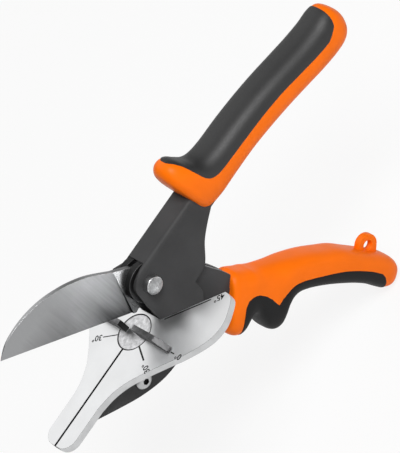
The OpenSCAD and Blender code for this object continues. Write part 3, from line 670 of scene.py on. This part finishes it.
class SHEARS_OT_lower_handle(Operator):
    """Builds the lower handle: hard shell, soft grip and hang loop"""

    bl_idname = "shears.lower_handle"
    bl_label = "Lower Handle"

    def execute(self, context):
        sizes = context.scene.shears_handles
        shell = tube_mesh("lower_shell", opened(shell_points(LOWER_ROWS, LOWER_POWER, sizes)) * MM)
        new_piece("lower_shell", tidy_mesh(shell), "lower_lever", "orange_plastic", ("lower_handle_shell",))
        grip = tube_mesh("lower_grip", opened(grip_points(LOWER_ROWS, LOWER_POWER, LOWER_SEAM, sizes)) * MM)
        new_piece("lower_grip", tidy_mesh(grip), "lower_lever", "black_grip", ("lower_handle_grip",))
        # This grip shines less than the upper one.
        # Painted shade: a copy of the grip material with less shine, so that the same grip renders darker here.
        grip.materials[0] = finish("dull_grip")
        loop = tube_mesh("hang_loop", opened(self.loop_points(sizes)) * MM, closed=True)
        new_piece("hang_loop", tidy_mesh(loop), "lower_lever", "orange_plastic")
        return {"FINISHED"}

    def loop_points(self, sizes):
        """A squared ellipse carried round the hole. Its outer side reaches further towards the root, with the
        square of the cosine of the angle from that way."""
        turn = np.linspace(0, 2 * np.pi, LOOP_COUNT, endpoint=False)[:, None]
        angle = np.linspace(0, 2 * np.pi, LOOP_AROUND, endpoint=False)[None, :]
        bore, reach, half = (s / MM for s in (sizes.loop_bore, sizes.loop_reach, sizes.loop_half))
        root = np.arctan2(HANG_ROOT[1], HANG_ROOT[0])
        outer = reach + LOOP_FOOT * np.clip(np.cos(turn - root), 0, None) ** 2
        radius = (outer + bore) / 2 + (outer - bore) / 2 * squared_off(np.cos(angle), LOOP_POWER)
        return np.stack([HANG_HOLE[0] + radius * np.cos(turn),
                         half * squared_off(np.sin(angle), LOOP_POWER) + 0 * turn,
                         HANG_HOLE[1] + radius * np.sin(turn)], axis=-1)


class SHEARS_OT_channel(Operator):
    """Builds the folded channel with its bolts and nuts"""

    bl_idname = "shears.channel"
    bl_label = "Channel"

    def execute(self, context):
        edge = context.scene.shears_metal.edge
        # The channel's rounded edges are made lighter: partly real wear, partly a painted highlight.
        softened("channel_frame", "channel", "upper_lever", "black_coat", edge, "worn_coat")
        for node in ("jaw_bolt", "jaw_nut", "pivot_nut"):
            softened(node, node + "_finished", "upper_lever", "bright_steel", edge)
        # Painted highlight: the rounded edge of the pivot bolt's head takes a bright finish.
        pivot = softened("pivot_bolt", "pivot_bolt_finished", "upper_lever", "bright_steel", edge,
                         "bolt_rim").data
        paint(pivot, face_values(pivot, "normal")[:, 1] < -BOLT_FACING, "bolt_face")
        bolt = bpy.data.objects["jaw_bolt_finished"].data
        way = face_values(bolt, "center")[:, [0, 2]] / MM - JAW_BOLT
        outwards = np.sum(way * face_values(bolt, "normal")[:, [0, 2]], axis=1)
        # Painted shade: the faces inside the hex socket are made black.
        paint(bolt, (np.hypot(*way.T) < SOCKET_REACH) & (outwards < SOCKET_OUTWARDS), "print_black")
        return {"FINISHED"}


class SHEARS_OT_table(Operator):
    """Builds the mitre table with its groove darkened by painted shade, and its printed angle marks"""

    bl_idname = "shears.table"
    bl_label = "Mitre Table"

    def execute(self, context):
        sizes = context.scene.shears_metal
        # Painted shade: the table's rounded edge takes a dark finish of its own.
        table = softened("mitre_table", "table", "upper_lever", "table_metal", sizes.table_edge,
                         "table_edge").data
        # Painted shade: the table's sides are made darker than its top.
        paint(table, np.abs(face_values(table, "normal")[:, 2]) < SIDE_FACING, "table_rim")
        x, y, z = (face_values(table, "center") / MM).T
        low, high = GROOVE_HEIGHTS
        in_groove = (z > low) & (z < high) & (np.abs(y) < GROOVE_HALF) & (x < GROOVE_END)
        # Painted shade: the faces of the groove are made black.
        paint(table, in_groove, "print_black")
        marks = tidy_mesh(self.marks_mesh(sizes))
        new_piece("table_marks", marks, "upper_lever", "print_black")
        return {"FINISHED"}

    def marks_mesh(self, sizes):
        """All the print in one mesh, half sunk in the table: the ring, the lines and the numerals."""
        half = sizes.print_lift / 2
        work = bmesh.new()
        parts = [self.ring_mesh(half)]
        parts += [self.line_mesh(half, *line) for line in PRINT_LINES]
        parts += [self.numeral_mesh(sizes, *numeral) for numeral in PRINT_NUMERALS]
        for part in parts:
            work.from_mesh(part)
            bpy.data.meshes.remove(part)
        mesh = bpy.data.meshes.new("table_marks")
        work.to_mesh(mesh)
        work.free()
        return mesh

    def ring_mesh(self, half):
        """A flat rectangle carried round the disc."""
        turn = np.linspace(0, 2 * np.pi, RING_COUNT, endpoint=False)[:, None]
        radius = np.array(RING_RADII)[[0, 1, 1, 0]][None, :] * MM
        height = half * np.array([[-1, -1, 1, 1]])
        points = np.stack([radius * np.cos(turn), radius * np.sin(turn), height + 0 * turn], axis=-1)
        return tube_mesh("ring", points, closed=True)

    def line_mesh(self, half, angle, side, start, end, width):
        """A flat rectangle carried straight out from the centre along an angle."""
        out, across = self.directions(angle, side)
        along = np.array([start, end])[:, None, None] * out * MM
        offset = width / 2 * np.array([-1, 1, 1, -1])[None, :, None] * across * MM
        height = half * np.array([-1, -1, 1, 1])[None, :, None]
        flat = along + offset
        return tube_mesh("line", np.concatenate([flat, height + 0 * flat[..., :1]], axis=-1))

    def numeral_mesh(self, sizes, text, angle, side, distance, shift):
        """A numeral made a mesh, then turned to read towards +Y along its line and set at its distance."""
        data = bpy.data.curves.new("numeral", "FONT")
        data.body, data.size, data.offset = text, sizes.digit, sizes.digit_weight
        data.align_x, data.align_y, data.resolution_u = "CENTER", "CENTER", 4
        data.extrude = sizes.print_lift / 2
        holder = bpy.data.objects.new("numeral", data)
        mesh = bpy.data.meshes.new_from_object(holder)
        bpy.data.objects.remove(holder)
        bpy.data.curves.remove(data)
        out, across = self.directions(angle, side)
        read = out * side
        spot = (out * distance + across * side * shift) * MM
        mesh.transform(Matrix(((read[0], -read[1], 0, spot[0]), (read[1], read[0], 0, spot[1]), (0, 0, 1, 0),
                               (0, 0, 0, 1))))
        return mesh

    def directions(self, angle, side):
        """Unit vectors on the table, out along a mark and across it."""
        out = np.array([-np.sin(np.radians(angle)), side * np.cos(np.radians(angle))])
        return out, np.array([-out[1], out[0]])


class SHEARS_OT_fence(Operator):
    """Builds the turning fence"""

    bl_idname = "shears.fence"
    bl_label = "Fence"

    def execute(self, context):
        # Painted dark reflection: the bars' tops are darker than the disc of the same metal.
        fence = softened("mitre_fence", "fence", "fence", "fence_metal", context.scene.shears_metal.edge).data
        centre, normal = face_values(fence, "center"), face_values(fence, "normal")
        on_disc = centre[:, 2] < DISC_TOP * MM
        paint(fence, on_disc, "disc_metal")
        # Painted shade: the bars' sides and slopes are made darker.
        paint(fence, ~on_disc & (normal[:, 2] < TOP_FACING), "fence_side")
        # Painted shade: the inner ends of the bars are made black.
        inner_end = normal[:, 1] * np.sign(centre[:, 1]) < -SIDE_FACING
        paint(fence, ~on_disc & inner_end, "print_black")
        return {"FINISHED"}


class SHEARS_OT_blade(Operator):
    """Builds the blade and the two cheeks beside it"""

    bl_idname = "shears.blade"
    bl_label = "Blade"

    def execute(self, context):
        sizes = context.scene.shears_metal
        # Painted dark reflection: the blade's ground faces darken towards the heel.
        blade = softened("blade", "ground_blade", "lower_lever", "blade_steel", sizes.fine_edge, "heel_steel",
                         limit=20, flat=1).data
        # Painted shade: the unground heel and the blade's rounded edges darken towards the bottom.
        paint(blade, np.abs(face_values(blade, "normal")[:, 1]) > UNGROUND_FACING, "heel_steel")
        for node in ("cheek_near", "cheek_far"):
            # Painted shade: the cheeks darken towards the nose, and their edges are made lighter.
            softened(node, node + "_plate", "lower_lever", "arm_black", sizes.edge, "worn_coat")
        return {"FINISHED"}


class SHEARS_OT_spring(Operator):
    """Builds the opening spring: its coil with the leg in the wall, and the leg that turns with the cheek"""

    bl_idname = "shears.spring"
    bl_label = "Opening Spring"

    def execute(self, context):
        sizes = context.scene.shears_spring
        coil, wire, reach, gap = (size / MM for size in (sizes.coil, sizes.wire, sizes.reach, sizes.gap))
        first, wall = (corner[1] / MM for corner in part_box("opening_spring"))
        first += wire
        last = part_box("cheek_far")[1][1] / MM - wire - gap
        start = np.pi / 2 - 2 * np.pi * (sizes.turns % 1)
        path, side = self.coil_path(sizes, start, first, last, wall)
        mesh = tidy_mesh(tube_mesh("spring_coil", wire_points(path, side, wire) * MM))
        new_piece("spring_coil", mesh, "upper_lever", "spring_steel", ("opening_spring",))
        radius = np.linspace(coil + wire + gap, reach, CHEEK_LEG_COUNT)
        path, _ = self.around_pivot(radius, start + 0 * radius, first + 0 * radius)
        mesh = tidy_mesh(tube_mesh("spring_leg", wire_points(path, np.array([[0, 1, 0]]), wire) * MM))
        new_piece("spring_leg", mesh, "lower_lever", "spring_steel")
        return {"FINISHED"}

    def around_pivot(self, radius, turn, y):
        """Points at a radius and a turn round the pivot, and the ways out from the pivot there."""
        out = np.stack([np.cos(turn), 0 * turn, np.sin(turn)], axis=-1)
        middle = np.stack([PIVOT[0] + 0 * y, y, PIVOT[2] + 0 * y], axis=-1)
        return middle + radius[:, None] * out, out

    def coil_path(self, sizes, start, first, last, wall):
        """A coil that climbs evenly along Y and widens by the lift in its last radian, then a quarter circle
        that turns the wire along Y, then a straight leg to the wall's outer face."""
        coil, lift, bend = (size / MM for size in (sizes.coil, sizes.lift, sizes.bend))
        wide = coil + lift
        whole = 2 * np.pi * sizes.turns
        end = whole - bend / wide
        turn = np.linspace(0, end, COIL_COUNT)
        corner = np.linspace(0, np.pi / 2, BEND_COUNT)[1:]
        leg = np.linspace(last + bend, wall, WALL_LEG_COUNT)[1:]
        share = np.clip(turn - end + 1, 0, 1)
        widening = coil + lift * share ** 2 * (3 - 2 * share)
        radius = np.concatenate([widening, wide + 0 * corner, wide + 0 * leg])
        angle = start + np.concatenate([turn, end + bend / wide * np.sin(corner), whole + 0 * leg])
        y = np.concatenate([first + (last - first) * turn / end, last + bend * (1 - np.cos(corner)), leg])
        return self.around_pivot(radius, angle, y)


class SHEARS_OT_small_parts(Operator):
    """Gives the small CAD parts that are kept as they are their materials"""

    bl_idname = "shears.small_parts"
    bl_label = "Small Parts"

    def execute(self, context):
        slots = {part["node"]: part["material_slot"] for part in frame["record"]["subparts"]}
        for name, node in frame["nodes"].items():
            if not node.hide_render:
                node.data.materials.clear()
                node.data.materials.append(finish(slots[name]))
        return {"FINISHED"}


class SHEARS_OT_stage(Operator):
    """Builds the floor, the lights and the camera"""

    bl_idname = "shears.stage"
    bl_label = "Stage"

    def execute(self, context):
        stage = context.scene.shears_stage
        self.floor(stage.white)
        self.world(stage.world)
        for name, (size, place) in LAMPS.items():
            self.lamp(name, getattr(stage, name), size, place)
        self.camera(context, stage)
        context.scene.view_settings.view_transform = "Standard"
        return {"FINISHED"}

    def shown(self, tree):
        """A value that is 1 for rays that show a surface: from the camera, mirrored or through glass."""
        path, = shader_nodes(tree, "LightPath")
        value = path.outputs["Is Camera Ray"]
        for name in ("Is Glossy Ray", "Is Transmission Ray"):
            most, = shader_nodes(tree, "Math")
            most.operation = "MAXIMUM"
            tree.links.new(value, most.inputs[0])
            tree.links.new(path.outputs[name], most.inputs[1])
            value = most.outputs[0]
        return value

    def floor(self, white_share):
        """A wide plane just under the lowest point, mostly plain white where it is seen, and lit and shaded
        for the rest."""
        level = cad_box[0][2] - FLOOR_GAP
        corners = [(FLOOR_HALF * x, FLOOR_HALF * y, level) for x, y in ((-1, -1), (1, -1), (1, 1), (-1, 1))]
        mesh = bpy.data.meshes.new("floor")
        mesh.from_pydata(corners, [], [(0, 1, 2, 3)])
        floor = bpy.data.objects.new("floor", mesh)
        bpy.context.scene.collection.objects.link(floor)
        made = bpy.data.materials.new("stage_floor")
        made.use_nodes = True
        nodes, links = made.node_tree.nodes, made.node_tree.links
        surface = nodes["Principled BSDF"]
        surface.inputs["Base Color"].default_value = (0.8, 0.8, 0.8, 1)
        surface.inputs["Roughness"].default_value = 1
        surface.inputs["Specular IOR Level"].default_value = 0
        white, mix, share = shader_nodes(made.node_tree, "Emission", "MixShader", "Math")
        share.operation = "MULTIPLY"
        share.inputs[1].default_value = white_share
        links.new(self.shown(made.node_tree), share.inputs[0])
        links.new(share.outputs[0], mix.inputs[0])
        links.new(surface.outputs[0], mix.inputs[1])
        links.new(white.outputs[0], mix.inputs[2])
        links.new(mix.outputs[0], nodes["Material Output"].inputs["Surface"])
        mesh.materials.append(made)

    def world(self, strength):
        """Even light all round."""
        world = bpy.data.worlds.new("studio")
        bpy.context.scene.world = world
        world.use_nodes = True
        background = world.node_tree.nodes["Background"]
        background.inputs["Color"].default_value = (1, 1, 1, 1)
        background.inputs["Strength"].default_value = strength

    def lamp(self, name, power, size, place):
        """A square area light that faces the middle of the object."""
        light = bpy.data.lights.new(name, "AREA")
        light.energy, light.size = power, size
        lamp = bpy.data.objects.new(name, light)
        lamp.visible_camera = False
        bpy.context.scene.collection.objects.link(lamp)
        middle = np.mean(cad_box, axis=0)
        back = np.array(place) / np.linalg.norm(place)
        side = np.cross((0, 0, 1), back)
        side /= np.linalg.norm(side)
        axes = np.column_stack([side, np.cross(back, side), back])
        lamp.matrix_world = Matrix.Translation(middle + np.array(place)) @ Matrix(axes.tolist()).to_4x4()

    def camera(self, context, stage):
        """A long lens whose back points along azimuth and elevation, rolled about its own line of sight."""
        az, el, roll = stage.azimuth, stage.elevation, stage.roll
        back = np.array([np.sin(az) * np.cos(el), -np.cos(az) * np.cos(el), np.sin(el)])
        level = np.array([np.cos(az), np.sin(az), 0])
        right = np.cos(roll) * level + np.sin(roll) * np.cross(back, level)
        axes = np.column_stack([right, np.cross(back, right), back])
        data = bpy.data.cameras.new("camera")
        data.lens = data.sensor_width * stage.distance / stage.span
        data.clip_end = VIEW_END
        camera = bpy.data.objects.new("camera", data)
        context.scene.collection.objects.link(camera)
        spot = np.array(stage.target) + stage.distance * back
        camera.matrix_world = Matrix.Translation(spot) @ Matrix(axes.tolist()).to_4x4()
        context.scene.camera = camera


class VIEW3D_PT_shears(Panel):
    """Sidebar panel with the shears' settings and steps"""

    bl_label = "Mitre Shears"
    bl_space_type = "VIEW_3D"
    bl_region_type = "UI"
    bl_category = "Shears"

    def draw(self, context):
        for group in GROUPS:
            column = self.layout.column(align=True)
            settings = getattr(context.scene, group)
            for name in settings.__annotations__:
                column.prop(settings, name)
        for step in STEPS:
            self.layout.operator(step.bl_idname)


GROUPS = {"shears_colours": ShearsColours, "shears_handles": ShearsHandles, "shears_metal": ShearsMetal,
          "shears_spring": ShearsSpring, "shears_stage": ShearsStage}
STEPS = (SHEARS_OT_upper_handle, SHEARS_OT_lower_handle, SHEARS_OT_channel, SHEARS_OT_table, SHEARS_OT_fence,
         SHEARS_OT_blade, SHEARS_OT_spring, SHEARS_OT_small_parts, SHEARS_OT_stage)


def register():
    """Adds the classes and the scene's settings."""
    for made in (*GROUPS.values(), *STEPS, VIEW3D_PT_shears):
        bpy.utils.register_class(made)
    for name, group in GROUPS.items():
        setattr(bpy.types.Scene, name, PointerProperty(type=group))


def unregister():
    """Takes away what register added."""
    for name in GROUPS:
        delattr(bpy.types.Scene, name)
    for made in reversed((*GROUPS.values(), *STEPS, VIEW3D_PT_shears)):
        bpy.utils.unregister_class(made)


def main():
    """Builds every piece and the stage."""
    register()
    bpy.ops.shears.upper_handle()
    bpy.ops.shears.lower_handle()
    bpy.ops.shears.channel()
    bpy.ops.shears.table()
    bpy.ops.shears.fence()
    bpy.ops.shears.blade()
    bpy.ops.shears.spring()
    bpy.ops.shears.small_parts()
    bpy.ops.shears.stage()


if __name__ == "__main__":
    main()
